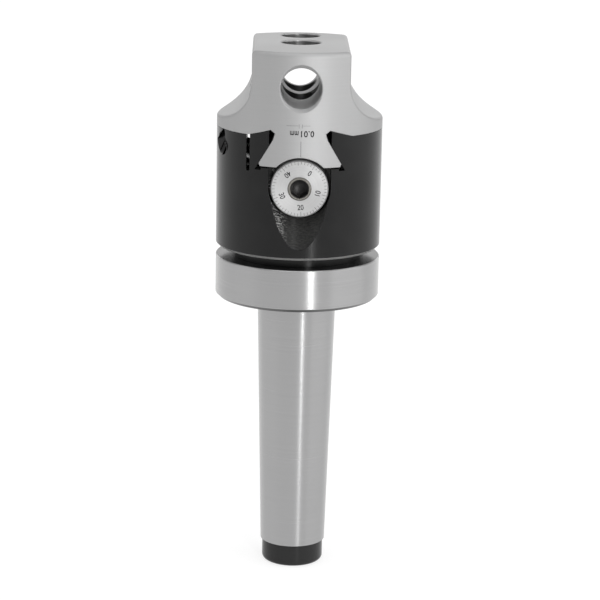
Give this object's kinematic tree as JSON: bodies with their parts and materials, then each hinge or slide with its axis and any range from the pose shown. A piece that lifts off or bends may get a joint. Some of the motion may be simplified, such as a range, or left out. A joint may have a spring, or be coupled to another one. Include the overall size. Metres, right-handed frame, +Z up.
{
  "type": "boring head",
  "caption": "Adjustable boring head with a dovetail tool slide, a graduated feed dial, round bar bores and a Morse taper shank.",
  "frame": {"origin": "centre of the shank taper's gauge plane, 5 mm below the flange's underside", "axes": "+Z up the spindle axis to the tool face, -Y out of the graduated dial, +Y the way the tool slide travels, +X to the right when facing the dial"},
  "size_m": [0.05, 0.05, 0.1634],
  "materials": {
    "black_steel": "gloss",
    "ground_steel": "satin",
    "satin_steel": "satin",
    "dial_steel": "satin",
    "screw_steel": "satin",
    "bronze": "satin",
    "brass": "satin"
  },
  "bodies": {
    "head": {"head_body": "black_steel", "taper_shank": "ground_steel", "shank_lock_pad": "brass", "shank_lock_screw": "screw_steel", "screw_bush": "screw_steel", "thrust_washer_front": "bronze", "thrust_washer_rear": "bronze"},
    "slide": {"tool_slide": "satin_steel", "feed_nut": "bronze", "nut_pin": "screw_steel"},
    "feed_screw": {"adjusting_screw": "screw_steel", "graduated_dial": "dial_steel", "dial_set_screw": "screw_steel"},
    "front_lock": {"lock_screw_front": "screw_steel"},
    "rear_lock": {"lock_screw_rear": "screw_steel"},
    "front_bar_clamp": {"bar_screw_front": "screw_steel"},
    "centre_bar_clamp": {"bar_screw_centre": "screw_steel"},
    "rear_bar_clamp": {"bar_screw_rear": "screw_steel"}
  },
  "joints": [
    {"name": "feed_screw_turn", "type": "hinge", "parent": "head", "child": "feed_screw", "pos_m": [0, -0.0238, 0.0422], "axis": [0, -1, 0], "range_deg": [0, 9360.1]},
    {"name": "slide_travel", "type": "slide", "parent": "head", "child": "slide", "axis": [0, 1, 0], "range_m": [0, 0.013]},
    {"name": "front_lock_turn", "type": "hinge", "parent": "head", "child": "front_lock", "pos_m": [-0.0153, -0.0092, 0.0494], "axis": [-0.9063, 0, 0.4226], "range_deg": [0, 90]},
    {"name": "rear_lock_turn", "type": "hinge", "parent": "head", "child": "rear_lock", "pos_m": [-0.0153, 0.0092, 0.0494], "axis": [-0.9063, 0, 0.4226], "range_deg": [0, 90]},
    {"name": "front_bar_clamp_travel", "type": "slide", "parent": "slide", "child": "front_bar_clamp", "axis": [1, 0, 0], "range_m": [-0.001, 0.0005]},
    {"name": "centre_bar_clamp_travel", "type": "slide", "parent": "slide", "child": "centre_bar_clamp", "axis": [1, 0, 0], "range_m": [-0.001, 0.0005]},
    {"name": "rear_bar_clamp_travel", "type": "slide", "parent": "slide", "child": "rear_bar_clamp", "axis": [1, 0, 0], "range_m": [-0.001, 0.0005]}
  ],
  "couplings": [
    {"joint": "feed_screw_turn", "follows": "slide_travel", "rad_per_m": 12566}
  ]
}
